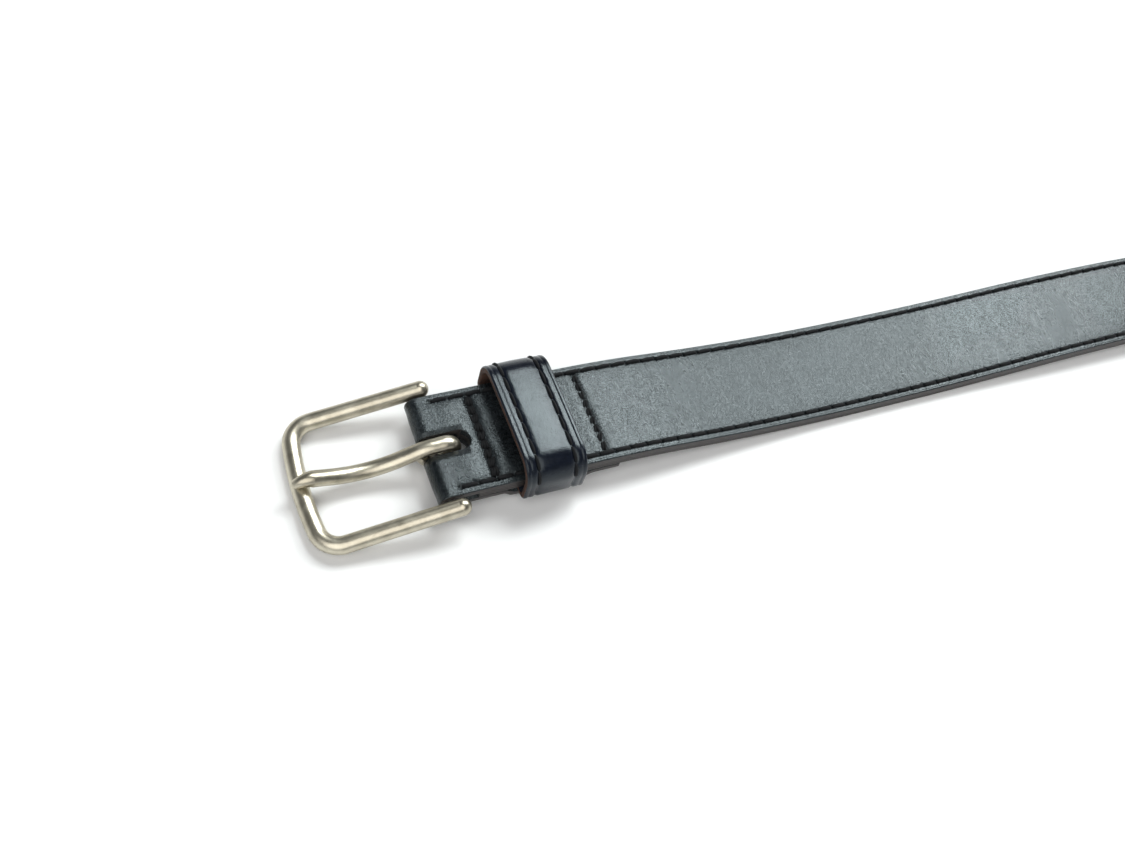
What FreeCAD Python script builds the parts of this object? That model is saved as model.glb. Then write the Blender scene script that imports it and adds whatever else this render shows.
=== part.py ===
import FreeCAD, Part
import math
import os

from FreeCAD import Placement, Rotation, Vector

# A man's leather dress belt: a three-layer strap folded round the bar of a cast
# buckle, a prong on the same bar, a sewn-in keeper loop and the threads.
# +X runs along the strap away from the buckle, +Y across it, +Z up.
# The belt lies face up on the plane Z = 0, its far end wound into a loose roll.

SIZES = {
    # strap
    "strap_width": 30.0,
    "face_thickness": 1.7,
    "filler_thickness": 0.8,
    "lining_thickness": 1.1,
    "ply_gap": 0.05,
    "waist_length": 864.0,
    "hole_pitch": 25.4,
    "hole_count": 5,
    "hole_diameter": 4.5,
    "tip_margin": 92.0,
    "tip_taper": 24.0,
    "tip_nose_radius": 7.0,
    # lie of the strap, measured along the ground from the buckle bar
    "bar_shift": -175.62,
    "bar_height": 6.2,
    "level_run": 38.0,
    "drop_start_run": 28.0,
    "drop_end_run": 67.0,
    "rest_run": 6.0,
    "wave_height": 2.4,
    "wave_up_run": 90.0,
    "wave_down_run": 71.0,
    "flat_run": 40.0,
    "roll_radius": 43.4,
    "roll_pitch": 6.0,
    # fold and turn-back
    "fold_gap": 0.1,
    "turnback_length": 47.0,
    "pinch_run": 8.0,
    "pinch_hold": 5.7,
    "slip_run": 4.0,
    "tail_drop": 0.22,
    "lining_start": 7.5,
    "slot_width": 5.8,
    "slot_reach": 9.8,
    "slot_tail": 9.0,
    # stitching
    "edge_row_offset": 12.9,
    "edge_row_start": 3.0,
    "groove_width": 0.9,
    "groove_depth": 0.35,
    "thread_thickness": 0.6,
    "cross_front": 12.7,
    "cross_rear": 43.1,
    "cross_span": 24.0,
    "cross_width": 1.0,
    "cross_thickness": 0.35,
    # keeper
    "keeper_centre": 26.6,
    "keeper_width": 16.6,
    "keeper_leather": 1.8,
    "keeper_side_gap": 1.6,
    "keeper_passage": 5.6,
    "keeper_corner": 6.2,
    "keeper_row_inset": 3.3,
    "keeper_thread": 0.35,
    # buckle
    "bar_radius": 1.25,
    "frame_reach": 33.7,
    "leg_offset": 17.75,
    "leg_lift": 1.6,
    "leg_overrun": 2.3,
    "leg_width": 4.5,
    "end_bar_width": 4.6,
    "end_bar_height": 4.3,
    "corner_radius": 5.2,
    "end_bar_bow": 0.8,
    "boss_radius": 2.0,
    "boss_inset": 0.4,
    "pin_inset": 0.6,
    "prong_width": 4.3,
    "prong_curl_height": 3.2,
    "prong_height": 3.9,
    "prong_tip_width": 2.6,
    "prong_tip_height": 2.4,
    "prong_curl_start": 165.0,
    "prong_curl_reach": 3.0,
    "prong_arch_radius": 3.0,
    "prong_crest_run": 3.0,
    "prong_crest_angle": 4.0,
    "prong_fall_run": 4.0,
    "prong_slope_run": 4.5,
    "prong_sag_run": 18.0,
    "prong_rise_run": 5.0,
    "prong_rise_angle": 14.0,
    "prong_hook_run": 4.2,
    "prong_hook_angle": 50.0,
    "prong_gap": 0.05,
}

os.makedirs("parts", exist_ok=True)
doc = FreeCAD.newDocument("Belt")
sheet = doc.addObject("Spreadsheet::Sheet", "Sizes")
for row, (alias, value) in enumerate(SIZES.items(), start=1):
    sheet.set("A%d" % row, alias)
    sheet.set("B%d" % row, str(value))
    sheet.setAlias("B%d" % row, alias)
doc.recompute()

SUB_PARTS = []


def size(alias):
    """The number that the sheet holds under this alias."""
    return float(sheet.get(alias))


def keep(part, label):
    """Label a finished sub-part and list it for writing."""
    part.Label = label
    SUB_PARTS.append(part)
    return part


# ---------------------------------------------------------------- strap line
# The line of the grain side in the XZ plane, as tangent straights and arcs.
# Each stretch is (start, middle, end); each of these is (x, z, heading).

class Line:
    def __init__(self, x, z, heading):
        self.here = (x, z, heading)
        self.stretches = []

    def step(self, length, turn=0.0):
        """Add a stretch of this length that turns left by this angle."""
        x, z, heading = self.here
        marks = [self.here]
        for part_way in (0.5, 1.0):
            half = turn * part_way / 2
            chord = length * part_way
            if turn:
                chord = 2 * (length / turn) * math.sin(half)
            marks.append((x + chord * math.cos(heading + half),
                          z + chord * math.sin(heading + half),
                          heading + turn * part_way))
        self.stretches.append(tuple(marks))
        self.here = marks[-1]

    def sway(self, rise, first_run, second_run):
        """Rise over two tangent arcs and leave in the starting direction."""
        turn = 2 * math.atan(rise / (first_run + second_run))
        self.step(first_run * abs(turn) / math.sin(abs(turn)), turn)
        self.step(second_run * abs(turn) / math.sin(abs(turn)), -turn)


def stretch_length(stretch):
    (x0, z0, a0), _, (x1, z1, a1) = stretch
    chord = math.hypot(x1 - x0, z1 - z0)
    half = (a1 - a0) / 2
    return chord * half / math.sin(half) if half else chord


def mark_at(stretches, distance):
    """The (x, z, heading) at this distance along the stretches."""
    for stretch in stretches:
        length = stretch_length(stretch)
        if distance <= length + 1e-9:
            line = Line(*stretch[0])
            turn = stretch[2][2] - stretch[0][2]
            line.step(distance, turn * distance / length)
            return line.here
        distance -= length
    return stretches[-1][2]


def cut_line(stretches, start, end):
    """The part of the stretches between two distances along them."""
    kept = []
    passed = 0.0
    for stretch in stretches:
        length = stretch_length(stretch)
        low = max(start - passed, 0.0)
        high = min(end - passed, length)
        if high - low > 1e-6:
            marks = [mark_at([stretch], low + (high - low) * f) for f in (0, 0.5, 1)]
            kept.append(tuple(marks))
        passed += length
    return kept


def reverse_line(stretches):
    """The same stretches walked the other way, headings turned about."""
    return [tuple((x, z, a + math.pi) for x, z, a in stretch[::-1])
            for stretch in stretches[::-1]]


def aside(mark, offset):
    """The point at this distance to the left of a mark."""
    x, z, heading = mark
    return Vector(x - offset * math.sin(heading), 0, z + offset * math.cos(heading))


def side_edges(stretches, offset):
    edges = []
    for stretch in stretches:
        first, middle, last = [aside(mark, offset) for mark in stretch]
        if abs(stretch[2][2] - stretch[0][2]) < 1e-9:
            edges.append(Part.LineSegment(first, last))
        else:
            edges.append(Part.Arc(first, middle, last))
    return edges


def band_curves(stretches, left, right):
    """The closed outline between two offsets from the strap line."""
    start, end = stretches[0][0], stretches[-1][2]
    return (side_edges(stretches, left)
            + [Part.LineSegment(aside(end, left), aside(end, right))]
            + side_edges(stretches, right)
            + [Part.LineSegment(aside(start, left), aside(start, right))])


def band(name, stretches, left, right, width, centre_y=0.0):
    """A band of the strap: a sketch of its edge view, extruded across the strap."""
    sketch = doc.addObject("Sketcher::SketchObject", name + "_outline")
    sketch.Placement = Placement(Vector(0, centre_y, 0), Rotation(Vector(1, 0, 0), 90))
    for curve in band_curves(stretches, left, right):
        flat = curve.copy()
        flat.rotate(Placement(Vector(), Rotation(Vector(1, 0, 0), -90)))
        sketch.addGeometry(flat)
    solid = doc.addObject("Part::Extrusion", name)
    solid.Base = sketch
    solid.DirMode = "Normal"
    solid.Solid = True
    solid.Symmetric = True
    solid.setExpression("LengthFwd", width)
    return solid


def cut(name, base, tools):
    """Cut every tool from the base."""
    joined = tools[0]
    if len(tools) > 1:
        joined = doc.addObject("Part::Compound", name + "_tools")
        joined.Links = tools
    result = doc.addObject("Part::Cut", name)
    result.Base = base
    result.Tool = joined
    return result


bar_x = size("bar_shift")
bar_z = size("bar_height")
face = size("face_thickness")
strap_thickness = (face + size("filler_thickness") + size("lining_thickness")
                   + 2 * size("ply_gap"))
fold_radius = size("bar_radius") + size("fold_gap") + face
face_top = bar_z + fold_radius
half_width = size("strap_width") / 2


def strap_line():
    """The grain line from the top of the bar to the tip."""
    line = Line(bar_x, face_top, 0.0)
    line.step(size("level_run"))
    line.sway(strap_thickness - face_top, size("drop_start_run"), size("drop_end_run"))
    line.step(size("rest_run"))
    line.sway(size("wave_height"), size("wave_up_run") / 2, size("wave_up_run") / 2)
    line.sway(-size("wave_height"), size("wave_down_run") / 2, size("wave_down_run") / 2)
    line.step(size("flat_run"))
    length = size("waist_length") + 2 * size("hole_pitch") + size("tip_margin")
    radius = size("roll_radius")
    walked = sum(stretch_length(stretch) for stretch in line.stretches)
    while walked < length - 1e-6:
        piece = min(math.pi * radius, length - walked)
        line.step(piece, piece / radius)
        walked += piece
        radius -= size("roll_pitch") / 2
    return line.stretches, length


def turnback_line():
    """The grain line of the fold and turn-back, walked from the top of the bar."""
    line = Line(bar_x, face_top, math.pi)
    line.step(math.pi * fold_radius, math.pi)
    bottom = bar_z - fold_radius
    pinched = face_top - strap_thickness - face - size("ply_gap")
    slipped = pinched - size("keeper_leather") - 2 * size("ply_gap")
    half = size("pinch_run") / 2
    line.sway(pinched - bottom, half, half)
    line.step(size("pinch_hold"))
    half = size("slip_run") / 2
    line.sway(slipped - pinched, half, half)
    keeper_end = size("keeper_centre") + size("keeper_width") / 2 + 1.0
    line.step(bar_x + keeper_end - line.here[0])
    line.sway(pinched - size("tail_drop") - slipped, half, half)
    line.step(bar_x + size("turnback_length") - line.here[0])
    return line.stretches


STRAP, strap_length = strap_line()
TURNBACK = turnback_line()
WHOLE = reverse_line(TURNBACK) + [tuple((x, z, a + 2 * math.pi) for x, z, a in stretch)
                                  for stretch in STRAP]


# ---------------------------------------------------------------- strap tools

def hole_tools(name):
    """The punched holes for the prong, square to the strap where they lie."""
    tools = []
    middle = size("waist_length")
    count = int(size("hole_count"))
    for index in range(count):
        distance = middle + (index - (count - 1) / 2) * size("hole_pitch")
        mark = mark_at(STRAP, distance)
        start = aside(mark, 1.0)
        punch = doc.addObject("Part::Cylinder", "%s_hole_%d" % (name, index))
        punch.setExpression("Radius", "Sizes.hole_diameter / 2")
        punch.Height = strap_thickness + 2.0
        punch.Placement = Placement(start, Rotation(Vector(0, 0, 1), -aside_normal(mark)))
        tools.append(punch)
    return tools


def aside_normal(mark):
    """The unit vector to the left of a mark."""
    return Vector(-math.sin(mark[2]), 0, math.cos(mark[2]))


def tip_prism(tip_x):
    """A tall prism over the rounded point: flanks as shallow arcs, then the nose."""
    taper = size("tip_taper")
    nose = size("tip_nose_radius")
    flank_angle = math.radians(38)
    tall = 60.0
    low = -tall / 2
    shoulder_x = tip_x - taper
    back_x = shoulder_x - taper
    nose_x = tip_x - nose

    def outline_point(x, y):
        return Vector(x, y, low)

    side_x = nose_x + nose * math.sin(flank_angle)
    side_y = nose * math.cos(flank_angle)
    bulge_x = (side_x + shoulder_x) / 2 + 0.06 * taper
    bulge_y = (side_y + half_width) / 2 + 0.09 * taper
    nose_sides = outline_point(side_x, side_y), outline_point(side_x, -side_y)
    bulges = outline_point(bulge_x, bulge_y), outline_point(bulge_x, -bulge_y)
    shoulders = outline_point(shoulder_x, half_width), outline_point(shoulder_x, -half_width)
    backs = outline_point(back_x, half_width), outline_point(back_x, -half_width)
    curves = [
        Part.Arc(shoulders[0], bulges[0], nose_sides[0]),
        Part.Arc(nose_sides[0], outline_point(tip_x, 0), nose_sides[1]),
        Part.Arc(nose_sides[1], bulges[1], shoulders[1]),
        Part.LineSegment(shoulders[1], backs[1]),
        Part.LineSegment(backs[1], backs[0]),
        Part.LineSegment(backs[0], shoulders[0]),
    ]
    wire = Part.Wire([curve.toShape() for curve in curves])
    return Part.Face(wire).extrude(Vector(0, 0, tall))


def tip_tool(name):
    """What is cut away beside the rounded point: a bent band outside the tip outline."""
    taper = size("tip_taper")
    overrun = 3.0
    end = mark_at(STRAP, strap_length)
    line = Line(*end)
    last = STRAP[-1]
    bend = (last[2][2] - last[0][2]) / stretch_length(last)
    line.step(overrun, overrun * bend)
    zone = cut_line(STRAP, strap_length - taper - overrun, strap_length) + line.stretches
    middle = mark_at(STRAP, strap_length - taper / 2)
    waste = band(name + "_tip_zone", zone, 1.0, -strap_thickness - 1.0, "Sizes.strap_width + 4")
    along = Vector(math.cos(middle[2]), 0, math.sin(middle[2]))
    centre = aside(middle, 0)
    tip_x = (aside(end, 0) - centre).dot(along)
    prism = doc.addObject("Part::Feature", name + "_tip_outline")
    prism.Shape = tip_prism(tip_x)
    prism.Placement = Placement(centre, Rotation(along, Vector(0, 1, 0), aside_normal(middle), "XYZ"))
    tool = doc.addObject("Part::Cut", name + "_tip_waste")
    tool.Base = waste
    tool.Tool = prism
    return tool


def groove_tools(name, stretches, low, high):
    """Two stitching grooves along the strap edges."""
    tools = []
    for side in (1, -1):
        tools.append(band("%s_groove_%s" % (name, "far" if side > 0 else "near"),
                          stretches, low, high, "Sizes.groove_width",
                          side * size("edge_row_offset")))
    return tools


def slot_tool():
    """The prong slot through the fold, round at both ends."""
    radius = size("slot_width") / 2
    straight = size("slot_reach") + size("slot_tail") - 2 * radius
    low = bar_z - fold_radius - 3
    high = 2 * fold_radius + 6
    box = doc.addObject("Part::Box", "slot_middle")
    box.Length = straight
    box.setExpression("Width", "Sizes.slot_width")
    box.Height = high
    start_x = bar_x - size("slot_tail") + radius
    box.Placement = Placement(Vector(start_x, -radius, low), Rotation())
    ends = [box]
    for index, x in enumerate((start_x, start_x + straight)):
        end = doc.addObject("Part::Cylinder", "slot_end_%d" % index)
        end.setExpression("Radius", "Sizes.slot_width / 2")
        end.Height = high
        end.Placement = Placement(Vector(x, 0, low), Rotation())
        ends.append(end)
    tool = doc.addObject("Part::MultiFuse", "slot_tool")
    tool.Shapes = ends
    return tool


# ---------------------------------------------------------------- strap layers

groove_line = cut_line(STRAP, size("edge_row_start"), strap_length - size("tip_taper"))
under_line = cut_line(STRAP, size("turnback_length") + 2, strap_length - size("tip_taper"))
under_side = -strap_thickness


def strap_face():
    whole = band("face_blank", WHOLE, 0.0, -face, "Sizes.strap_width")
    tools = hole_tools("face") + [tip_tool("face"), slot_tool()]
    tools += groove_tools("face", groove_line, 0.5, -size("groove_depth"))
    return keep(cut("face_cut", whole, tools), "strap_face")


def strap_inner(label, top, bottom):
    stretch = cut_line(STRAP, size("lining_start"), strap_length)
    blank = band(label + "_blank", stretch, top, bottom, "Sizes.strap_width")
    tools = hole_tools(label) + [tip_tool(label)]
    slot_end = doc.addObject("Part::Cylinder", label + "_slot_end")
    slot_end.setExpression("Radius", "Sizes.slot_width / 2")
    slot_end.Height = 2 * fold_radius + 6
    slot_end.Placement = Placement(
        Vector(bar_x + size("slot_reach") - size("slot_width") / 2, 0, bar_z - fold_radius - 3), Rotation())
    tools.append(slot_end)
    if label == "strap_lining":
        tools += groove_tools(label, under_line, bottom + size("groove_depth"), bottom - 0.5)
    return keep(cut(label + "_cut", blank, tools), label)


def edge_threads():
    for side, where in ((1, "far"), (-1, "near")):
        y = side * size("edge_row_offset")
        low = -size("groove_depth") + 0.01
        keep(band("thread_face_" + where, groove_line, low + size("thread_thickness"), low,
                  "Sizes.thread_thickness", y), "thread_face_" + where)
        keep(band("thread_back_" + where, under_line, under_side + size("groove_depth") - 0.01,
                  under_side + 0.01, "Sizes.thread_thickness", y), "thread_back_" + where)


strap_face()
filler_top = -face - size("ply_gap")
filler_bottom = filler_top - size("filler_thickness")
lining_top = filler_bottom - size("ply_gap")
strap_inner("strap_filler", filler_top, filler_bottom)
strap_inner("strap_lining", lining_top, under_side)
edge_threads()


# ---------------------------------------------------------------- seams and keeper

keeper_x = bar_x + size("keeper_centre")
keeper_low = face_top - strap_thickness - size("ply_gap")
keeper_high = face_top + size("keeper_passage")
keeper_half = half_width + size("keeper_side_gap")


def cross_threads():
    """The seams across the strap on each side of the keeper, face and back."""
    half = size("cross_width") / 2
    thick = size("cross_thickness")
    back = face_top - strap_thickness - face - size("ply_gap")
    for where in ("front", "rear"):
        run = size("cross_" + where)
        line = cut_line(STRAP, run - half, run + half)
        name = "thread_cross_%s" % where
        keep(band(name, line, 0.01 + thick, 0.01, "Sizes.cross_span"), name)
        drop = size("tail_drop") if where == "rear" else 0.0
        under = Line(bar_x + run - half, back - drop, 0.0)
        under.step(2 * half)
        name = "thread_cross_%s_back" % where
        keep(band(name, under.stretches, -0.01, -0.01 - thick, "Sizes.cross_span"), name)


def origin_plane(body, role):
    return [item for item in body.Origin.OriginFeatures if item.Role == role][0]


def body_sketch(body, name, role, offset=Placement()):
    """A sketch on one of the body's own origin planes."""
    sketch = body.newObject("Sketcher::SketchObject", name)
    sketch.AttachmentSupport = [(origin_plane(body, role), "")]
    sketch.MapMode = "FlatFace"
    sketch.AttachmentOffset = offset
    return sketch


def add_round_box(sketch, half, low, high, lower_radius, upper_radius):
    """A closed outline in a sketch, symmetric about its second axis, round corners."""
    corners = [(half, low, lower_radius, -1, 1), (half, high, upper_radius, -1, -1),
               (-half, high, upper_radius, 1, -1), (-half, low, lower_radius, 1, 1)]
    diagonal = 1 - math.sqrt(0.5)
    marks = []
    for index, (x, y, radius, in_x, in_y) in enumerate(corners):
        beside = Vector(x + in_x * radius, y, 0)
        above = Vector(x, y + in_y * radius, 0)
        middle = Vector(x + in_x * radius * diagonal, y + in_y * radius * diagonal, 0)
        marks.append((beside, middle, above) if index % 2 == 0 else (above, middle, beside))
    for index, (first, middle, last) in enumerate(marks):
        sketch.addGeometry(Part.Arc(first, middle, last))
        sketch.addGeometry(Part.LineSegment(last, marks[(index + 1) % 4][0]))


def keeper_loop():
    """The sewn-in loop: round the strap, its lower run held by the turn-back."""
    leather = size("keeper_leather")
    corner = size("keeper_corner")
    body = doc.addObject("PartDesign::Body", "keeper")
    sketch = body_sketch(body, "keeper_section", "YZ_Plane")
    add_round_box(sketch, keeper_half + leather, keeper_low - leather, keeper_high + leather,
                  leather, corner)
    add_round_box(sketch, keeper_half, keeper_low, keeper_high, 0.3, corner - leather)
    loop = body.newObject("PartDesign::Pad", "keeper_pad")
    loop.Profile = sketch
    loop.SideType = "Symmetric"
    loop.setExpression("Length", "Sizes.keeper_width")
    body.Placement = Placement(Vector(keeper_x, 0, 0), Rotation())
    return keep(body, "keeper_loop")


def keeper_thread(where, side):
    """A row of stitches over the top and sides of the keeper, as a flat arch."""
    leather = size("keeper_leather")
    thick = size("keeper_thread")
    corner = size("keeper_corner")
    inner = keeper_half + leather + 0.01
    top = keeper_high + leather + 0.01
    body = doc.addObject("PartDesign::Body", "thread_" + where)
    sketch = body_sketch(body, "arch_" + where, "YZ_Plane")
    low = keeper_low + 2 * leather
    for grow in (0.0, thick):
        half, high, radius = inner + grow, top + grow, corner + grow
        diagonal = radius * (1 - math.sqrt(0.5))
        for y in (half, -half):
            sign = math.copysign(1, y)
            shoulder = Vector(y, high - radius, 0)
            sketch.addGeometry(Part.LineSegment(Vector(y, low, 0), shoulder))
            sketch.addGeometry(Part.Arc(shoulder, Vector(y - sign * diagonal, high - diagonal, 0),
                                        Vector(y - sign * radius, high, 0)))
        sketch.addGeometry(Part.LineSegment(Vector(half - radius, high, 0),
                                            Vector(radius - half, high, 0)))
    for sign in (1, -1):
        sketch.addGeometry(Part.LineSegment(Vector(sign * inner, low, 0),
                                            Vector(sign * (inner + thick), low, 0)))
    row = body.newObject("PartDesign::Pad", "row_" + where)
    row.Profile = sketch
    row.SideType = "Symmetric"
    row.setExpression("Length", "Sizes.thread_thickness")
    offset = side * (size("keeper_width") / 2 - size("keeper_row_inset"))
    body.Placement = Placement(Vector(keeper_x + offset, 0, 0), Rotation())
    return keep(body, "thread_keeper_" + where)


# ---------------------------------------------------------------- buckle
# The frame is drawn flat, a little above the bar's axis, and droops to the ground.

end_bar_rise = size("end_bar_height") / 2 + 0.02
droop = (math.asin((bar_z - end_bar_rise) / math.hypot(size("frame_reach"), size("leg_lift")))
         + math.atan2(size("leg_lift"), size("frame_reach")))


def add_ellipse(sketch, x, y, width, height):
    """An ellipse wider than high about a point of the sketch."""
    sketch.addGeometry(Part.Ellipse(Vector(x + width / 2, y, 0), Vector(x, y + height / 2, 0),
                                    Vector(x, y, 0)))


def add_ball(body, name, centre, radius):
    """A ball added to the body about a point."""
    ball = body.newObject("PartDesign::AdditiveSphere", name)
    ball.setExpression("Radius", radius)
    ball.AttachmentOffset = Placement(centre, Rotation())
    ball.AttachmentSupport = [(origin_plane(body, "XY_Plane"), "")]
    ball.MapMode = "FlatFace"


def buckle_frame():
    """A cast frame: a bowed end bar, two round corners and two legs to the bar."""
    reach = size("frame_reach")
    leg_y = size("leg_offset")
    bow = size("end_bar_bow")
    half = leg_y - size("corner_radius")
    bow_angle = math.asin(half / ((half ** 2 + bow ** 2) / (2 * bow)))
    turn = math.pi / 2 - bow_angle
    corner = (leg_y - half) / (1 - math.cos(turn))
    bow_end = Vector(bow - reach, half, 0)
    leg_end = Vector(bow_end.x + corner * math.sin(turn), leg_y, 0)
    mid = Vector(leg_end.x - corner * math.sin(turn / 2),
                 leg_y - corner * (1 - math.cos(turn / 2)), 0)
    body = doc.addObject("PartDesign::Body", "frame")
    lift = size("leg_lift")
    overrun = size("leg_overrun")
    path = body_sketch(body, "frame_path", "XY_Plane", Placement(Vector(0, 0, lift), Rotation()))

    def mirrored(point):
        return Vector(point.x, -point.y, 0)

    path.addGeometry(Part.Arc(leg_end, mid, bow_end))
    path.addGeometry(Part.Arc(bow_end, Vector(-reach, 0, 0), mirrored(bow_end)))
    path.addGeometry(Part.Arc(mirrored(bow_end), mirrored(mid), mirrored(leg_end)))
    sections = {}
    for name, x, y, width in (("far_corner", leg_end.x, leg_y, size("end_bar_width")),
                              ("far_leg", overrun, leg_y, size("leg_width")),
                              ("near_corner", leg_end.x, -leg_y, size("end_bar_width")),
                              ("near_leg", overrun, -leg_y, size("leg_width"))):
        sections[name] = body_sketch(body, name, "YZ_Plane",
                                     Placement(Vector(0, 0, x), Rotation()))
        add_ellipse(sections[name], y, lift, width, size("end_bar_height"))
    doc.recompute()
    bend = body.newObject("PartDesign::AdditivePipe", "end_bar")
    bend.Profile = sections["far_corner"]
    bend.Spine = (path, ["Edge1", "Edge2", "Edge3"])
    for side, y in (("far", leg_y), ("near", -leg_y)):
        leg = body.newObject("PartDesign::AdditiveLoft", side + "_leg_loft")
        leg.Profile = sections[side + "_corner"]
        leg.Sections = [sections[side + "_leg"]]
        boss_y = math.copysign(leg_y - size("boss_inset"), y)
        add_ball(body, side + "_boss", Vector(0, boss_y, 0), "Sizes.boss_radius")
        add_ball(body, side + "_leg_end", Vector(overrun, y, lift), "Sizes.leg_width / 2")
    seat = body.newObject("PartDesign::SubtractiveCylinder", "pin_seat")
    seat.setExpression("Radius", "Sizes.bar_radius")
    seat.setExpression("Height", "2 * (Sizes.leg_offset + Sizes.pin_inset)")
    seat.AttachmentSupport = [(origin_plane(body, "XZ_Plane"), "")]
    seat.MapMode = "FlatFace"
    seat.AttachmentOffset = Placement(Vector(0, 0, -leg_y - size("pin_inset")), Rotation())
    body.Placement = Placement(Vector(bar_x, 0, bar_z),
                               Rotation(Vector(0, 1, 0), -math.degrees(droop)))
    return keep(body, "buckle_frame")


def buckle_bar():
    """The steel bar pressed into both leg ends, on which fold and prong turn."""
    bar = doc.addObject("Part::Cylinder", "bar")
    bar.setExpression("Radius", "Sizes.bar_radius")
    bar.setExpression("Height", "2 * (Sizes.leg_offset + Sizes.pin_inset)")
    bar.Placement = Placement(Vector(bar_x, size("leg_offset") + size("pin_inset"), bar_z),
                              Rotation(Vector(1, 0, 0), 90))
    return keep(bar, "buckle_bar")


def prong_line():
    """The prong's centre line about the bar's axis, from the curl to the hooked tip."""
    curl = size("bar_radius") + size("prong_gap") + size("prong_curl_height") / 2
    start = math.radians(size("prong_curl_start"))
    leave = math.pi + math.radians(size("prong_crest_angle"))
    rise = math.pi - math.radians(size("prong_rise_angle"))
    end_bar_top = 2 * end_bar_rise - bar_z
    fall = math.radians(20)
    for _ in range(20):
        line = Line(curl * math.cos(start), curl * math.sin(start), start - 1.5 * math.pi)
        line.step(-curl * line.here[2], -line.here[2])
        line.step(size("prong_curl_reach"))
        line.step(size("prong_arch_radius") * leave, leave)
        line.step(size("prong_crest_run"))
        line.step(size("prong_fall_run"), fall + math.pi - leave)
        line.step(size("prong_slope_run"))
        line.step(size("prong_sag_run"), rise - fall - math.pi)
        line.step(size("prong_rise_run"))
        too_high = line.here[1] - size("prong_height") / 2 - end_bar_top
        fall += too_high / size("prong_sag_run")
    line.step(size("prong_hook_run"), math.radians(size("prong_hook_angle")))
    return line


def prong_section(body, name, mark, width, height):
    """An ellipse square to the prong's centre line at a mark."""
    along = Vector(math.cos(mark[2]), 0, math.sin(mark[2]))
    upright = Rotation(Vector(0, 1, 0), Vector(-along.z, 0, along.x), along, "ZXY")
    section = body_sketch(body, name, "XY_Plane", Placement(Vector(mark[0], 0, mark[1]), upright))
    add_ellipse(section, 0, 0, width, height)
    return section


def buckle_prong():
    """The prong: a curl round the bar, an arch over the fold and a hooked tip."""
    line = prong_line()
    body = doc.addObject("PartDesign::Body", "prong")
    path = body_sketch(body, "prong_path", "XZ_Plane")
    for first, middle, last in line.stretches:
        ends = [Vector(mark[0], mark[1], 0) for mark in (first, middle, last)]
        if abs(last[2] - first[2]) < 1e-9:
            path.addGeometry(Part.LineSegment(ends[0], ends[2]))
        else:
            path.addGeometry(Part.Arc(*ends))
    wide, curl_high = size("prong_width"), size("prong_curl_height")
    tip_wide, tip_high = size("prong_tip_width"), size("prong_tip_height")
    curl_start, crest, hook_start, tip = [line.stretches[index][0] for index in (0, 4, 8)] + [line.here]
    sections = [
        prong_section(body, "curl_end", curl_start, wide, curl_high),
        prong_section(body, "shank_start", crest, wide, curl_high),
        prong_section(body, "shank_end", hook_start, wide, size("prong_height")),
        prong_section(body, "tip_end", tip, tip_wide, tip_high),
    ]
    doc.recompute()
    curl = body.newObject("PartDesign::AdditivePipe", "curl")
    curl.Profile = sections[0]
    curl.Spine = (path, ["Edge1", "Edge2", "Edge3", "Edge4"])
    for name, first, edges in (("shank", 1, (5, 6, 7, 8)), ("hook", 2, (9,))):
        pipe = body.newObject("PartDesign::AdditivePipe", name)
        pipe.Profile = sections[first]
        pipe.Spine = (path, ["Edge%d" % number for number in edges])
        pipe.Transformation = "Multisection"
        pipe.Sections = [(sections[first + 1], [""])]
    cap = body.newObject("PartDesign::AdditiveEllipsoid", "tip")
    cap.Radius1 = tip_high / 2
    cap.Radius2 = tip_high / 2
    cap.Radius3 = tip_wide / 2
    cap.AttachmentOffset = Placement(Vector(tip[0], 0, tip[1]), Rotation())
    cap.AttachmentSupport = [(origin_plane(body, "XY_Plane"), "")]
    cap.MapMode = "FlatFace"
    body.Placement = Placement(Vector(bar_x, 0, bar_z), Rotation())
    return keep(body, "buckle_prong")


cross_threads()
keeper_loop()
for where, side in (("left", -1), ("right", 1)):
    keeper_thread(where, side)
buckle_frame()
buckle_bar()
buckle_prong()


# ---------------------------------------------------------------- checks and files

doc.recompute()
for item in doc.Objects:
    if "Invalid" in item.State or "Error" in item.State:
        raise RuntimeError("%s failed to build: %s" % (item.Label, item.State))
for part in SUB_PARTS:
    shape = part.Shape
    if shape.isNull() or not shape.isValid() or not shape.Solids:
        raise RuntimeError("%s has no valid solid" % part.Label)
    box = shape.optimalBoundingBox()
    print("%-24s %2d solid, %8.1f mm3, X %.2f..%.2f Y %.2f..%.2f Z %.2f..%.2f" % (
        part.Label, len(shape.Solids), shape.Volume, box.XMin, box.XMax,
        box.YMin, box.YMax, box.ZMin, box.ZMax))
    shape.exportStep("parts/%s.step" % part.Label)
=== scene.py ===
import bisect
import math
import random

import bmesh
import bpy
from mathutils import Matrix, Vector


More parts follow.
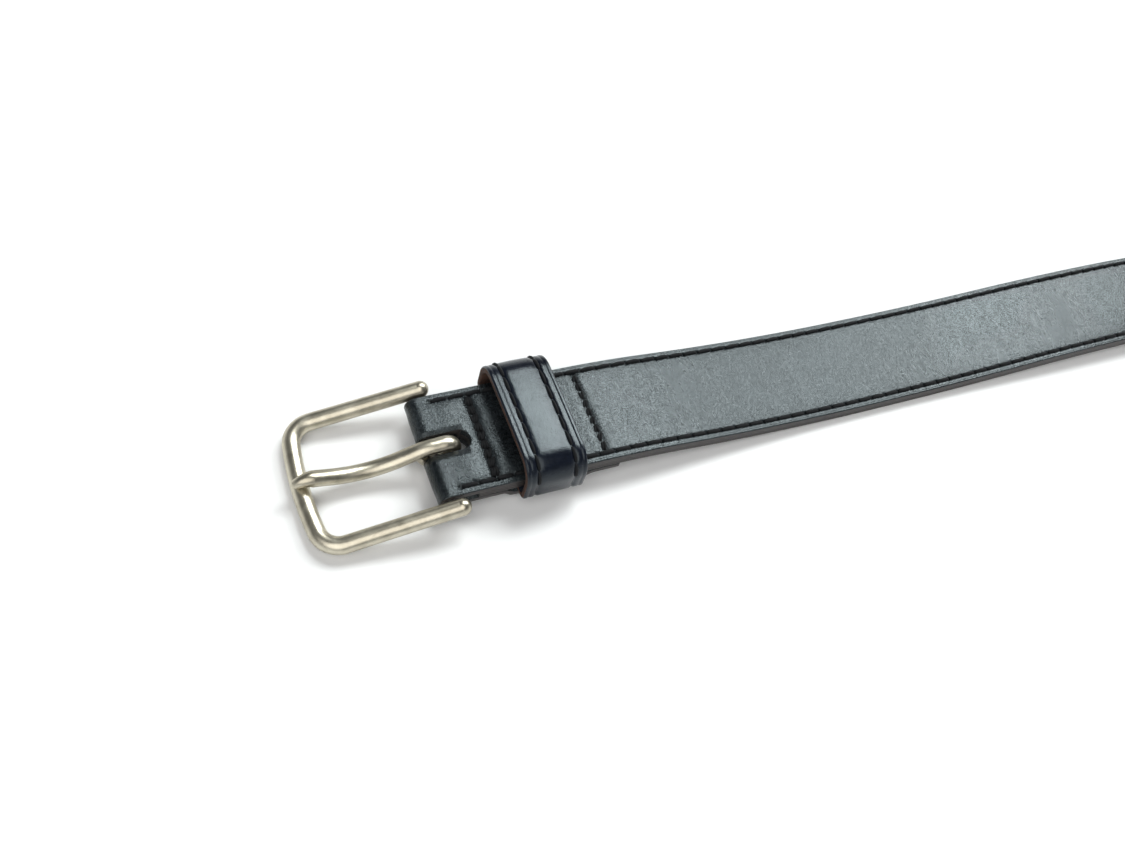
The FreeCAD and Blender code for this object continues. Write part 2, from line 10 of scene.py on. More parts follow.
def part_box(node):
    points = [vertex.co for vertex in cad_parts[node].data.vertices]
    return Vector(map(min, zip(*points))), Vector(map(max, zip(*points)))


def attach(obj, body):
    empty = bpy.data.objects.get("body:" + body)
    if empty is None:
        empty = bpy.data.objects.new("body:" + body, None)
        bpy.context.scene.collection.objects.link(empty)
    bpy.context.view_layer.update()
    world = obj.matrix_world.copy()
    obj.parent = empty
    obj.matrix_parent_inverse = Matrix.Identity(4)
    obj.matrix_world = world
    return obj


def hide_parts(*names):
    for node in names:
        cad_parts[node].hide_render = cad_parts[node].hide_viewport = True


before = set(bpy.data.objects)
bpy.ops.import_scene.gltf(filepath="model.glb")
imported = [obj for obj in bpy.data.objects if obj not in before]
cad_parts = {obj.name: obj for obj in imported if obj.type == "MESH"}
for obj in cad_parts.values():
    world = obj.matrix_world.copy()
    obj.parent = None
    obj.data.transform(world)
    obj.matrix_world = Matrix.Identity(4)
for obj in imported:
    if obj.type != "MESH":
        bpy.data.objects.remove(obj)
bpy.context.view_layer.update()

# A leather dress belt. Face, lining, keeper and threads are detailed meshes on the
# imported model's own lines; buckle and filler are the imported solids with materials.

MM = 0.001

# Driving sizes in millimetres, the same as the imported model's.
STRAP_WIDTH = 30.0
FACE, FILLER, LINING, PLY_GAP = 1.7, 0.8, 1.1, 0.05
BAR_RADIUS, FOLD_GAP = 1.25, 0.1
WAIST, HOLE_PITCH, TIP_MARGIN, TIP_TAPER = 864.0, 25.4, 92.0, 24.0
HOLE_COUNT, HOLE_RADIUS = 5, 2.25
LEVEL, DROP_A, DROP_B, REST = 38.0, 28.0, 67.0, 6.0
WAVE, WAVE_UP, WAVE_DOWN, FLAT_RUN = 2.4, 90.0, 71.0, 40.0
ROLL_RADIUS, ROLL_PITCH = 43.4, 6.0
TURNBACK_END, PINCH_RUN, PINCH_HOLD, SLIP_RUN, TAIL_DROP = 47.0, 8.0, 5.7, 4.0, 0.22
LINING_START = 7.5
SLOT_WIDTH, SLOT_REACH, SLOT_TAIL = 5.8, 9.8, 9.0
ROW_INSET, ROW_START = 2.1, 3.0
CROSS_FRONT, CROSS_REAR, CROSS_REACH = 12.7, 43.1, 12.0
KEEPER_X, KEEPER_WIDTH, KEEPER_LEATHER = 26.6, 16.6, 1.8
KEEPER_SIDE, KEEPER_PASSAGE, KEEPER_CORNER, KEEPER_ROW = 1.6, 5.6, 6.2, 3.3
STITCH_PITCH, SEAM_PITCH, SEAM_BACK_PITCH = 4.72, 2.7, 3.3

# Sizes that follow from them.
STRAP_THICK = FACE + FILLER + LINING + 2 * PLY_GAP
FOLD_RADIUS = BAR_RADIUS + FOLD_GAP + FACE
FOLD_LENGTH = math.pi * FOLD_RADIUS
bar_low, bar_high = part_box("buckle_bar")
BAR_X = (bar_low.x + bar_high.x) / 2 / MM
BAR_Z = (bar_low.z + bar_high.z) / 2 / MM
FACE_TOP = BAR_Z + FOLD_RADIUS
HALF = STRAP_WIDTH / 2
LENGTH = WAIST + (HOLE_COUNT - 1) / 2 * HOLE_PITCH + TIP_MARGIN
KEEPER_HALF = HALF + KEEPER_SIDE + KEEPER_LEATHER
KEEPER_LOW = FACE_TOP - STRAP_THICK - PLY_GAP - KEEPER_LEATHER
KEEPER_HIGH = FACE_TOP + KEEPER_PASSAGE + KEEPER_LEATHER


# ---------------------------------------------------------------- strap line

class Line:
    """A run of tangent straights and arcs in the XZ plane."""

    def __init__(self, x, z, heading):
        self.here = (x, z, heading)
        self.stretches = []

    def step(self, length, turn=0.0):
        """Add a stretch of this length that turns left by this angle."""
        start = self.here
        self.here = walk(start, length, turn)
        self.stretches.append((start, length, turn))

    def sway(self, rise, first_run, second_run):
        """Rise over two tangent arcs and leave in the starting direction."""
        turn = 2 * math.atan(rise / (first_run + second_run))
        self.step(first_run * abs(turn) / math.sin(abs(turn)), turn)
        self.step(second_run * abs(turn) / math.sin(abs(turn)), -turn)

    def length(self):
        return sum(length for _, length, _ in self.stretches)

    def at(self, distance):
        """The (x, z, heading) at this distance along the line."""
        for start, length, turn in self.stretches:
            if distance <= length:
                return walk(start, distance, turn * distance / length)
            distance -= length
        return walk(self.here, distance, 0.0)


def walk(start, length, turn):
    """Where a stretch from the start ends, and its heading there."""
    x, z, heading = start
    chord = length if abs(turn) < 1e-12 else 2 * (length / turn) * math.sin(turn / 2)
    return (x + chord * math.cos(heading + turn / 2),
            z + chord * math.sin(heading + turn / 2), heading + turn)


def strap_line():
    """The grain line from the top of the bar to the tip."""
    line = Line(BAR_X, FACE_TOP, 0.0)
    line.step(LEVEL)
    line.sway(STRAP_THICK - FACE_TOP, DROP_A, DROP_B)
    line.step(REST)
    line.sway(WAVE, WAVE_UP / 2, WAVE_UP / 2)
    line.sway(-WAVE, WAVE_DOWN / 2, WAVE_DOWN / 2)
    line.step(FLAT_RUN)
    walked = line.length()
    radius = ROLL_RADIUS
    while walked < LENGTH:
        half_turn = min(math.pi * radius, LENGTH - walked)
        line.step(half_turn, half_turn / radius)
        walked += half_turn
        radius -= ROLL_PITCH / 2
    return line


def turnback_line():
    """The grain line of the fold and turn-back, walked from the top of the bar."""
    line = Line(BAR_X, FACE_TOP, math.pi)
    line.step(FOLD_LENGTH, math.pi)
    pinched = FACE_TOP - STRAP_THICK - FACE - PLY_GAP
    slipped = pinched - KEEPER_LEATHER - 2 * PLY_GAP
    line.sway(pinched - (BAR_Z - FOLD_RADIUS), PINCH_RUN / 2, PINCH_RUN / 2)
    line.step(PINCH_HOLD)
    line.sway(slipped - pinched, SLIP_RUN / 2, SLIP_RUN / 2)
    line.step(BAR_X + KEEPER_X + KEEPER_WIDTH / 2 + 1.0 - line.here[0])
    line.sway(pinched - TAIL_DROP - slipped, SLIP_RUN / 2, SLIP_RUN / 2)
    line.step(BAR_X + TURNBACK_END - line.here[0])
    return line


STRAP = strap_line()
TURNBACK = turnback_line()


def mark(distance):
    """(x, z, heading) on the grain line; below zero it goes round the fold."""
    if distance >= 0:
        return STRAP.at(distance)
    x, z, heading = TURNBACK.at(-distance)
    return x, z, heading - math.pi


def place(distance, y, lift):
    """The point at this distance along the strap, across it and above its grain side."""
    x, z, heading = mark(distance)
    return ((x - lift * math.sin(heading)) * MM, y * MM, (z + lift * math.cos(heading)) * MM)


# ---------------------------------------------------------------- mesh helpers

def new_object(name, verts, faces, smooth=True):
    mesh = bpy.data.meshes.new(name)
    mesh.from_pydata(verts, [], faces)
    mesh.update()
    obj = bpy.data.objects.new(name, mesh)
    bpy.context.scene.collection.objects.link(obj)
    if smooth:
        mesh.polygons.foreach_set("use_smooth", [True] * len(mesh.polygons))
    return obj


def stand_in(obj, node):
    """The object is shown for this node of the strap."""
    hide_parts(node)
    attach(obj, "strap")
    return obj


def ring_faces(rings, count, first=0, closed=False):
    """Quads between rings of the same number of points."""
    faces = []
    for i in range(rings if closed else rings - 1):
        a = first + i * count
        b = first + ((i + 1) % rings) * count
        for j in range(count):
            k = (j + 1) % count
            faces.append((a + j, a + k, b + k, b + j))
    return faces


def end_faces(rings, count, first=0):
    """One face over the first ring and one over the last."""
    last = first + (rings - 1) * count
    return [tuple(first + j for j in reversed(range(count))),
            tuple(last + j for j in range(count))]


def fix_normals(obj):
    """Turn every face outwards."""
    mesh = bmesh.new()
    mesh.from_mesh(obj.data)
    bmesh.ops.recalc_face_normals(mesh, faces=mesh.faces)
    mesh.to_mesh(obj.data)
    mesh.free()


def smooth_step(low, high, value):
    t = min(max((value - low) / (high - low), 0.0), 1.0)
    return t * t * (3 - 2 * t)


def bell(value, width):
    return math.exp(-(value / width) ** 2)


def steps(start, end, size):
    """Even steps of about this size from start to end."""
    count = max(int(round((end - start) / size)), 1)
    return [start + (end - start) * i / count for i in range(count + 1)]


def needle_dent(walked, width):
    """1 at a needle hole of a row, falling to 0 between the holes."""
    phase = (walked / STITCH_PITCH) % 1.0
    return bell(min(phase, 1 - phase) * STITCH_PITCH, width)


# ---------------------------------------------------------------- strap skins

# distances along the strap between the skin's cross-sections
FINE_STEP, COARSE_STEP = STITCH_PITCH / 8, STITCH_PITCH / 4
FOLD_STEP, TURNBACK_STEP, TIP_STEP = 0.4, 0.8, 0.7
SEEN_CLOSELY = 262.0

# distances in from the edge at which the grain side is shaped
EDGE_STOPS = [0.0, 0.06, 0.2, 0.42, 0.62, 0.76, 0.9, 1.2, 1.5, 1.68, 1.85, 2.0, 2.1,
              2.2, 2.35, 2.55, 2.8, 3.2, 3.8, 5.0, 6.5, 8.0, 10.0, 12.5]
EDGE_ROUNDING = 0.42
CREASE_INSET, CREASE_WIDTH, CREASE_DEPTH = 0.62, 0.09, 0.06
GROOVE_WIDTH, GROOVE_DEPTH, HOLE_WIDTH, HOLE_DEPTH = 0.42, 0.12, 0.5, 0.40
RIM_INSET, RIM_WIDTH, RIM_HEIGHT = 0.85, 0.28, 0.12
PUCKER_WIDTH, PUCKER_DEPTH = 1.0, 0.10
CROWN_HEIGHT = 0.16

# relief across the seams: a valley, dimples, wrinkles and pillows (beside, width, height)
SEAM_HALF, SEAM_FADE = 12.6, (14.0, 11.5)
VALLEY_WIDTH, VALLEY_DEPTH = 1.0, 0.70
DIMPLE_WIDTH, DIMPLE_DEPTH = 2.6, 0.16
WRINKLE_WIDTH, WRINKLE_DEPTH = 3.4, 0.10
PILLOWS = [(4.0, 2.6, 0.34), (-5.6, 3.6, 0.30)]
REAR_WIDTH, REAR_DEPTH = 0.75, 0.45
REAR_RIM, REAR_RIM_WIDTH, REAR_RIM_HEIGHT = 2.4, 1.3, 0.12

# the grain side's cut side: (distance in from the edge, lift), from the top down
CUT_SIDE = [(0.0, -0.7), (0.0, -1.2), (0.02, -FACE - PLY_GAP / 2)]

# the lining's outside: (distance in from the edge, lift), with the row's groove
LINING_EDGE = [(0.0, 0.28), (0.04, 0.17), (0.12, 0.06), (0.28, 0.0), (1.2, 0.0)]
LINING_GROOVE = [(1.75, 0.0), (1.95, 0.2), (2.1, 0.3), (2.25, 0.2), (2.45, 0.0), (4.0, 0.0), (8.0, 0.0)]


def half_width(distance):
    """Half the strap's width: full, then round to a point at the tip."""
    into = distance - (LENGTH - TIP_TAPER)
    if into <= 0:
        return HALF
    t = min(into / TIP_TAPER, 1.0)
    return HALF * math.sqrt(max(1 - t ** 2.4, 0.0)) ** 1.1 + 0.02


def strap_stations(start):
    """Where the skin's cross-sections lie: close together where it is seen closely."""
    stations = []
    if start < 0:
        fold_end = -FOLD_LENGTH - 0.01
        stations += steps(start, fold_end, TURNBACK_STEP)[:-1]
        stations += steps(fold_end, 0, FOLD_STEP)[:-1]
        start = 0
    stations += steps(start, SEEN_CLOSELY, FINE_STEP)[:-1]
    stations += steps(SEEN_CLOSELY, LENGTH - TIP_TAPER, COARSE_STEP)[:-1]
    stations += steps(LENGTH - TIP_TAPER, LENGTH, TIP_STEP)
    return stations


def edge_shape(inset):
    """The rounded edge and the creased line beside it."""
    height = -CREASE_DEPTH * bell(inset - CREASE_INSET, CREASE_WIDTH)
    if inset < EDGE_ROUNDING:
        fall = EDGE_ROUNDING ** 2 - (EDGE_ROUNDING - inset) ** 2
        height -= EDGE_ROUNDING - math.sqrt(max(fall, 0.0))
    return height


def row_shape(distance, inset):
    """The stitched groove, its needle holes, and the leather pushed up beside them."""
    dent = needle_dent(distance - ROW_START, HOLE_WIDTH)
    beside = inset - ROW_INSET
    height = -(GROOVE_DEPTH + HOLE_DEPTH * dent) * bell(beside, GROOVE_WIDTH)
    height += RIM_HEIGHT * dent * bell(abs(beside) - RIM_INSET, RIM_WIDTH)
    return height - PUCKER_DEPTH * dent * bell(beside, PUCKER_WIDTH)


def front_seam_shape(distance, inset, y):
    """The creased valley of the front seam between two soft pillows."""
    front = distance - CROSS_FRONT
    height = -VALLEY_DEPTH * bell(front, VALLEY_WIDTH)
    height -= DIMPLE_DEPTH * bell(front, DIMPLE_WIDTH) * (0.5 + 0.5 * math.sin(y * 2.1 + distance))
    height -= WRINKLE_DEPTH * bell(front, WRINKLE_WIDTH) * math.sin(y * 3.3 - 2.0 * distance)
    pillows = sum(tall * bell(front - beside, width) for beside, width, tall in PILLOWS)
    return height + pillows * smooth_step(1.5, 4.5, inset)


def rear_seam_shape(distance):
    """The rear seam's narrow groove between two low rims."""
    rear = distance - CROSS_REAR
    rims = REAR_RIM_HEIGHT * bell(abs(rear) - REAR_RIM, REAR_RIM_WIDTH)
    return rims - REAR_DEPTH * bell(rear, REAR_WIDTH)


def face_height(distance, inset, y):
    """Height of the grain side above its line, in millimetres."""
    height = edge_shape(inset)
    if ROW_START - 1 < distance < LENGTH - 6:
        height += row_shape(distance, inset)
    height += CROWN_HEIGHT * smooth_step(2.2, 5.0, inset) * (0.6 + 0.4 * math.cos(y / HALF * 1.4))
    if distance > 0:
        in_seam = 1.0 if abs(y) < SEAM_HALF else smooth_step(*SEAM_FADE, abs(y))
        height += in_seam * (front_seam_shape(distance, inset, y) + rear_seam_shape(distance))
    return height


def face_section(distance):
    """Closed section of the face leather at a station: (across, lift) points."""
    half = half_width(distance)
    far = []
    for inset in EDGE_STOPS:
        y = half - min(inset, half * 0.98)
        far.append((y, face_height(distance, inset, y)))
    near = [(-y, lift) for y, lift in reversed(far)]
    middle = [(0.0, face_height(distance, HALF, 0.0))]
    near_side = [(inset - half, lift) for inset, lift in CUT_SIDE]
    far_side = [(half - inset, lift) for inset, lift in reversed(CUT_SIDE)]
    underside = [(half * t, -FACE - PLY_GAP / 2) for t in (-0.6, -0.2, 0.2, 0.6)]
    return far + middle + near + near_side + underside + far_side


def lining_section(distance):
    """Closed section of the lining at a station; its groove starts past the turn-back."""
    half = half_width(distance)
    top = -FACE - FILLER - 1.5 * PLY_GAP
    bottom = -STRAP_THICK
    depth = 1.0 if distance > TURNBACK_END + 2 else 0.0
    stops = LINING_EDGE + [(inset, rise * depth) for inset, rise in LINING_GROOVE]
    far = [(half - min(inset, half * 0.98), bottom + rise) for inset, rise in stops]
    near = [(-y, lift) for y, lift in reversed(far)]
    upper = [(half * t, top) for t in (-0.5, 0.0, 0.5)]
    return [(half - 0.02, top)] + far + [(0.0, bottom)] + near + [(-half + 0.02, top)] + upper


def swept(name, stations, section):
    """A skin through its cross-sections at the stations, closed at both ends."""
    rings = []
    for distance in stations:
        rings.append([place(distance, y, lift) for y, lift in section(distance)])
    verts = [point for ring in rings for point in ring]
    count = len(rings[0])
    obj = new_object(name, verts, ring_faces(len(rings), count) + end_faces(len(rings), count))
    fix_normals(obj)
    return obj


def obround(name, centre, along, across, up, length, width, tall, segments=24):
    """A prism with half-round ends, for cutting."""
    reach = (length - width) / 2
    outline = []
    for side in (1, -1):
        for i in range(segments):
            turn = math.pi * i / (segments - 1) - side * math.pi / 2
            outline.append((side * reach + width / 2 * math.cos(turn), width / 2 * math.sin(turn)))
    verts = []
    for level in (-tall / 2, tall / 2):
        for a, b in outline:
            verts.append(centre + along * a + across * b + up * level)
    faces = ring_faces(2, len(outline)) + end_faces(2, len(outline))
    obj = new_object(name, verts, faces, smooth=False)
    fix_normals(obj)
    return obj


def cut_away(target, cutters):
    """Cut the cutters out of the target and leave no modifier behind."""
    for cutter in cutters:
        boolean = target.modifiers.new("cut", "BOOLEAN")
        boolean.operation = "DIFFERENCE"
        boolean.solver = "EXACT"
        boolean.object = cutter
    depsgraph = bpy.context.evaluated_depsgraph_get()
    mesh = bpy.data.meshes.new_from_object(target.evaluated_get(depsgraph))
    target.modifiers.clear()
    target.data = mesh
    for cutter in cutters:
        bpy.data.objects.remove(cutter)


def slot_cutter():
    """The prong slot through the fold."""
    length = (SLOT_REACH + SLOT_TAIL) * MM
    centre = Vector(((BAR_X + (SLOT_REACH - SLOT_TAIL) / 2) * MM, 0, BAR_Z * MM))
    return obround("slot_cutter", centre, Vector((1, 0, 0)), Vector((0, 1, 0)), Vector((0, 0, 1)),
                   length, SLOT_WIDTH * MM, (2 * FOLD_RADIUS + 6) * MM)


def hole_cutters():
    """The punched holes, square to the strap where they lie and a hair longer than wide."""
    cutters = []
    for index in range(HOLE_COUNT):
        distance = WAIST + (index - (HOLE_COUNT - 1) / 2) * HOLE_PITCH
        heading = mark(distance)[2]
        along = Vector((math.cos(heading), 0, math.sin(heading)))
        up = Vector((-math.sin(heading), 0, math.cos(heading)))
        centre = Vector(place(distance, 0, -STRAP_THICK / 2))
        cutters.append(obround("hole_cutter", centre, along, Vector((0, 1, 0)), up,
                               2.001 * HOLE_RADIUS * MM, 2 * HOLE_RADIUS * MM,
                               (STRAP_THICK + 1.2) * MM, 14))
    return cutters


def make_skin(name, node, start, section):
    """One outer layer of the strap, slotted for the prong and punched."""
    skin = swept(name, strap_stations(start), section)
    cut_away(skin, [slot_cutter()] + hole_cutters())
    return stand_in(skin, node)


# ---------------------------------------------------------------- stitches

# along a stitch: shares of its length, and its thickness there
ROW_SHARES = (0.08, 0.15, 0.28, 0.5, 0.72, 0.85, 0.92)
SEAM_SHARES = (0.04, 0.14, 0.32, 0.5, 0.68, 0.86, 0.96)
KEEPER_SHARES = (0.04, 0.12, 0.3, 0.5, 0.7, 0.88, 0.96)
ROW_TAPER = (0.7, 0.92, 1, 1.04, 1, 0.92, 0.7)
SEAM_TAPER = (0.7, 0.95, 1, 1.05, 1, 0.95, 0.7)
THREAD_SIDES = 8
ROW_DIVE, SEAM_DIVE, KEEPER_DIVE = 0.78, 0.75, 0.6
FACE_ROW_RADIUS, BACK_ROW_RADIUS, KEEPER_ROW_RADIUS, SEAM_BACK_RADIUS = 0.60, 0.3, 0.42, 0.3

# name, place along the strap, passes, depth in the leather, thread radius
SEAMS = [("front", CROSS_FRONT, 3, 0.30, 0.50), ("rear", CROSS_REAR, 2, 0.15, 0.40)]


def tube(verts, faces, points, radii, flatten):
    """Add a thread through the points, closed at its ends, a little flatter than round."""
    first = len(verts)
    points = [Vector(point) for point in points]
    side = None
    for i, point in enumerate(points):
        ahead = points[min(i + 1, len(points) - 1)] - points[max(i - 1, 0)]
        ahead.normalize()
        if side is None:
            side = ahead.orthogonal().normalized()
        side = (side - ahead * side.dot(ahead)).normalized()
        up = ahead.cross(side)
        for j in range(THREAD_SIDES):
            turn = 2 * math.pi * j / THREAD_SIDES
            verts.append(point + radii[i] * (math.cos(turn) * side + math.sin(turn) * up * flatten))
    faces.extend(ring_faces(len(points), THREAD_SIDES, first))
    faces.extend(end_faces(len(points), THREAD_SIDES, first))


def dive(share, depth):
    """How deep a stitch lies at this share of its length: flat, then down at its ends."""
    return depth * abs(2 * share - 1) ** 3


def row_stitches(name, node, side, start, lift_of, radius, seed):
    """Single stitches along an edge row, each diving into its needle holes."""
    rng = random.Random(seed)
    verts, faces = [], []
    first = ROW_START + math.ceil((start - ROW_START) / STITCH_PITCH) * STITCH_PITCH
    for index in range(int((LENGTH - 8 - first) / STITCH_PITCH)):
        here = first + index * STITCH_PITCH
        slant = 0.16 + rng.uniform(-0.06, 0.06)
        rise = rng.uniform(-0.03, 0.04)
        points = []
        for share in ROW_SHARES:
            distance = here + share * STITCH_PITCH
            y = side * (half_width(distance) - ROW_INSET) + (share - 0.5) * slant * side
            points.append(place(distance, y, lift_of(dive(share, ROW_DIVE) - rise)))
        tube(verts, faces, points, [radius * MM * f for f in ROW_TAPER], 0.86)
    return stand_in(new_object(name, verts, faces), node)


def face_lift(depth):
    return 0.2 - depth


def back_lift(depth):
    return -STRAP_THICK + 0.18 + depth * 0.7


def seam_stitches(name, node, distance, lift, direction, passes, seed, pitch, radius):
    """Stitches across the strap; a second pass lies unevenly over the first."""
    rng = random.Random(seed)
    verts, faces = [], []
    count = int(round(2 * CROSS_REACH / pitch))
    run = 2 * CROSS_REACH / count
    for layer in range(passes):
        shift = (layer - (passes - 1) / 2) * 0.6
        for index in range(count):
            low = -CROSS_REACH + index * run
            tilt = rng.uniform(-0.9, 0.9)
            points = []
            for share in SEAM_SHARES:
                along = distance + shift + (share - 0.5) * (0.5 + tilt)
                rise = 0.1 + 0.16 * layer - dive(share, SEAM_DIVE)
                points.append(place(along, low + share * run, lift + direction * rise))
            tube(verts, faces, points, [radius * MM * f for f in SEAM_TAPER], 0.85)
    return stand_in(new_object(name, verts, faces), node)


def make_edge_threads():
    threads = []
    for side, where in ((1, "far"), (-1, "near")):
        threads.append(row_stitches("face_stitches_" + where, "thread_face_" + where, side,
                                    ROW_START, face_lift, FACE_ROW_RADIUS, 11 + side))
        threads.append(row_stitches("back_stitches_" + where, "thread_back_" + where, side,
                                    TURNBACK_END + 3, back_lift, BACK_ROW_RADIUS, 31 + side))
    return threads


def make_cross_threads():
    threads = []
    back = -(STRAP_THICK + FACE + PLY_GAP)
    for where, distance, passes, sunk, radius in SEAMS:
        node = "thread_cross_" + where
        threads.append(seam_stitches("seam_%s_face" % where, node, distance, -sunk, 1,
                                     passes, 5, SEAM_PITCH, radius))
        threads.append(seam_stitches("seam_%s_back" % where, node + "_back", distance, back, -1,
                                     1, 9, SEAM_BACK_PITCH, SEAM_BACK_RADIUS))
    return threads


# ---------------------------------------------------------------- keeper

KEEPER_CROWN = 0.35
# how far up the loop's outside the worked face, the needle dents and the rows begin
WORKED_FROM, DENTS_FROM, ROWS_FROM = 2.5, 3.0, 3.2

# across half the keeper: (distance in from its edge, depth) of edge, crease and groove
KEEPER_STOPS = [(0.0, 0.62), (0.06, 0.36), (0.2, 0.13), (0.42, 0.02), (0.7, 0.0), (1.0, 0.0),
                (1.2, 0.10), (1.35, 0.12), (1.5, 0.08), (1.9, 0.02), (2.6, 0.03), (3.0, 0.2),
                (3.3, 0.32), (3.6, 0.2), (4.0, 0.02), (5.0, -0.06), (6.5, -0.1)]


def keeper_path():
    """Points round the loop's outside: (y, z, outward y, outward z), round corners."""
    lower = KEEPER_LEATHER + 0.6
    corners = [(KEEPER_HALF, KEEPER_HIGH, KEEPER_CORNER, 0), (-KEEPER_HALF, KEEPER_HIGH, KEEPER_CORNER, 90),
               (-KEEPER_HALF, KEEPER_LOW, lower, 180), (KEEPER_HALF, KEEPER_LOW, lower, 270)]
    path = []
    for y, z, radius, start in corners:
        centre_y = y - math.copysign(radius, y)
        centre_z = z - math.copysign(radius, z - (KEEPER_LOW + KEEPER_HIGH) / 2)
        for step in range(11):
            turn = math.radians(start + 9 * step)
            path.append((centre_y + radius * math.cos(turn), centre_z + radius * math.sin(turn),
                         math.cos(turn), math.sin(turn)))
    dense = []
    for i, here in enumerate(path):
        there = path[(i + 1) % len(path)]
        parts = max(int(apart(here, there) / 0.8), 1)
        for k in range(parts):
            dense.append(between(here, there, k / parts))
    return dense


def apart(here, there):
    """The distance between two points of the path."""
    return math.hypot(there[0] - here[0], there[1] - here[1])


def between(here, there, share):
    return tuple(a + (b - a) * share for a, b in zip(here, there))


def on_keeper(point, x, lift):
    """The place above a point of the path, on the gently crowned loop."""
    y, z, out_y, out_z = point
    crown = KEEPER_CROWN * max(out_z, 0.0) * math.cos(y / KEEPER_HALF * math.pi / 2)
    return ((BAR_X + KEEPER_X + x) * MM, (y + out_y * lift) * MM, (z + crown + out_z * lift) * MM)


def keeper_profile(dent):
    """Across the keeper: (x from its middle, lift), outside then inside."""
    half = KEEPER_WIDTH / 2
    outer = []
    for inset, depth in KEEPER_STOPS:
        outer.append((inset - half, -depth - 0.22 * dent * bell(inset - KEEPER_ROW, 0.4)))
    outer += [(0.0, 0.12)] + [(-x, lift) for x, lift in reversed(outer)]
    inner = [(half, 0.25), (half - 0.3, 0.0), (half / 2, 0.0),
             (-half / 2, 0.0), (-half + 0.3, 0.0), (-half, 0.25)]
    return outer + [(x, -KEEPER_LEATHER + lift) for x, lift in inner]


def make_keeper():
    """The loop: worked outside on its top and sides, plain below and inside."""
    path = keeper_path()
    rings = []
    walked = 0.0
    previous = path[0]
    for here in path:
        walked += apart(previous, here)
        previous = here
        z = here[1]
        dent = needle_dent(walked, 0.8) if z > KEEPER_LOW + DENTS_FROM else 0.0
        ring = []
        for x, lift in keeper_profile(dent):
            shown = lift if z > KEEPER_LOW + WORKED_FROM else min(lift, 0.0)
            ring.append(on_keeper(here, x, shown))
        rings.append(ring)
    verts = [point for ring in rings for point in ring]
    loop = new_object("keeper_leather", verts, ring_faces(len(rings), len(rings[0]), closed=True))
    fix_normals(loop)
    return stand_in(loop, "keeper_loop")


def keeper_row_path():
    """The path from low on the far side over the top, and the lengths walked along it."""
    path = keeper_path()
    row_z = KEEPER_LOW + ROWS_FROM
    far_side = [i for i in range(len(path)) if path[i][0] >= 0]
    start = min(far_side, key=lambda i: abs(path[i][1] - row_z))
    path = path[start:] + path[:start]
    lengths = [0.0]
    for here, there in zip(path, path[1:]):
        lengths.append(lengths[-1] + apart(here, there))
    end = next(lengths[i] for i, point in enumerate(path) if point[0] < 0 and point[1] < row_z)
    return path, lengths, end


def path_point(path, lengths, walked):
    """The point of the path after this length."""
    i = bisect.bisect_left(lengths, walked) % len(path)
    span = (lengths[i] - lengths[i - 1]) or 1.0
    return between(path[i - 1], path[i], (walked - lengths[i - 1]) / span)


def make_keeper_threads():
    path, lengths, end = keeper_row_path()
    threads = []
    for where, side in (("left", -1), ("right", 1)):
        verts, faces = [], []
        row_x = side * (KEEPER_WIDTH / 2 - KEEPER_ROW)
        for index in range(int(end / STITCH_PITCH)):
            points = []
            for share in KEEPER_SHARES:
                point = path_point(path, lengths, (index + share) * STITCH_PITCH)
                x = row_x + (share - 0.5) * 0.2
                points.append(on_keeper(point, x, -0.02 - dive(share, KEEPER_DIVE)))
            tube(verts, faces, points, [KEEPER_ROW_RADIUS * MM * f for f in ROW_TAPER], 0.86)
        obj = new_object("keeper_stitches_" + where, verts, faces)
        threads.append(stand_in(obj, "thread_keeper_" + where))
    return threads


# ---------------------------------------------------------------- material helpers

def material(name):
    made = bpy.data.materials.new(name)
    made.use_nodes = True
    tree = made.node_tree
    return made, tree, tree.nodes["Principled BSDF"]


def add(tree, kind, **settings):
    node = tree.nodes.new(kind)
    for key, value in settings.items():
        setattr(node, key, value)
    return node


def object_coords(tree):
    return add(tree, "ShaderNodeTexCoord").outputs["Object"]


def stretched(tree, coords, stretch):
    mapping = add(tree, "ShaderNodeMapping")
    mapping.inputs["Scale"].default_value = stretch
    tree.links.new(coords, mapping.inputs["Vector"])
    return mapping.outputs["Vector"]


def noise(tree, coords, scale, detail=4.0, rough=0.55, stretch=(1, 1, 1)):
    texture = add(tree, "ShaderNodeTexNoise")
    texture.inputs["Scale"].default_value = scale
    texture.inputs["Detail"].default_value = detail
    texture.inputs["Roughness"].default_value = rough
    tree.links.new(stretched(tree, coords, stretch), texture.inputs["Vector"])
    return texture.outputs["Fac"]


def cells(tree, coords, scale):
    """The distance to the nearest border between irregular cells."""
    texture = add(tree, "ShaderNodeTexVoronoi", feature="DISTANCE_TO_EDGE")
    texture.inputs["Scale"].default_value = scale
    tree.links.new(coords, texture.inputs["Vector"])
    return texture.outputs["Distance"]


def ramp(tree, value, stops):
    """A colour ramp; a stop is (position, colour or grey level)."""
    node = add(tree, "ShaderNodeValToRGB")
    elements = node.color_ramp.elements
    while len(elements) < len(stops):
        elements.new(0.5)
    for element, (position, colour) in zip(elements, stops):
        element.position = position
        element.color = (*colour, 1.0) if isinstance(colour, tuple) else (colour, colour, colour, 1.0)
    tree.links.new(value, node.inputs["Fac"])
    return node.outputs["Color"]


def maths(tree, operation, first, second):
    node = add(tree, "ShaderNodeMath", operation=operation)
    for socket, value in zip(node.inputs, (first, second)):
        if isinstance(value, (int, float)):
            socket.default_value = value
        else:
            tree.links.new(value, socket)
    return node.outputs["Value"]


def mixed(tree, first, first_share, second, second_share):
    """Two textures added in these shares."""
    return maths(tree, "ADD", maths(tree, "MULTIPLY", first, first_share),
                 maths(tree, "MULTIPLY", second, second_share))


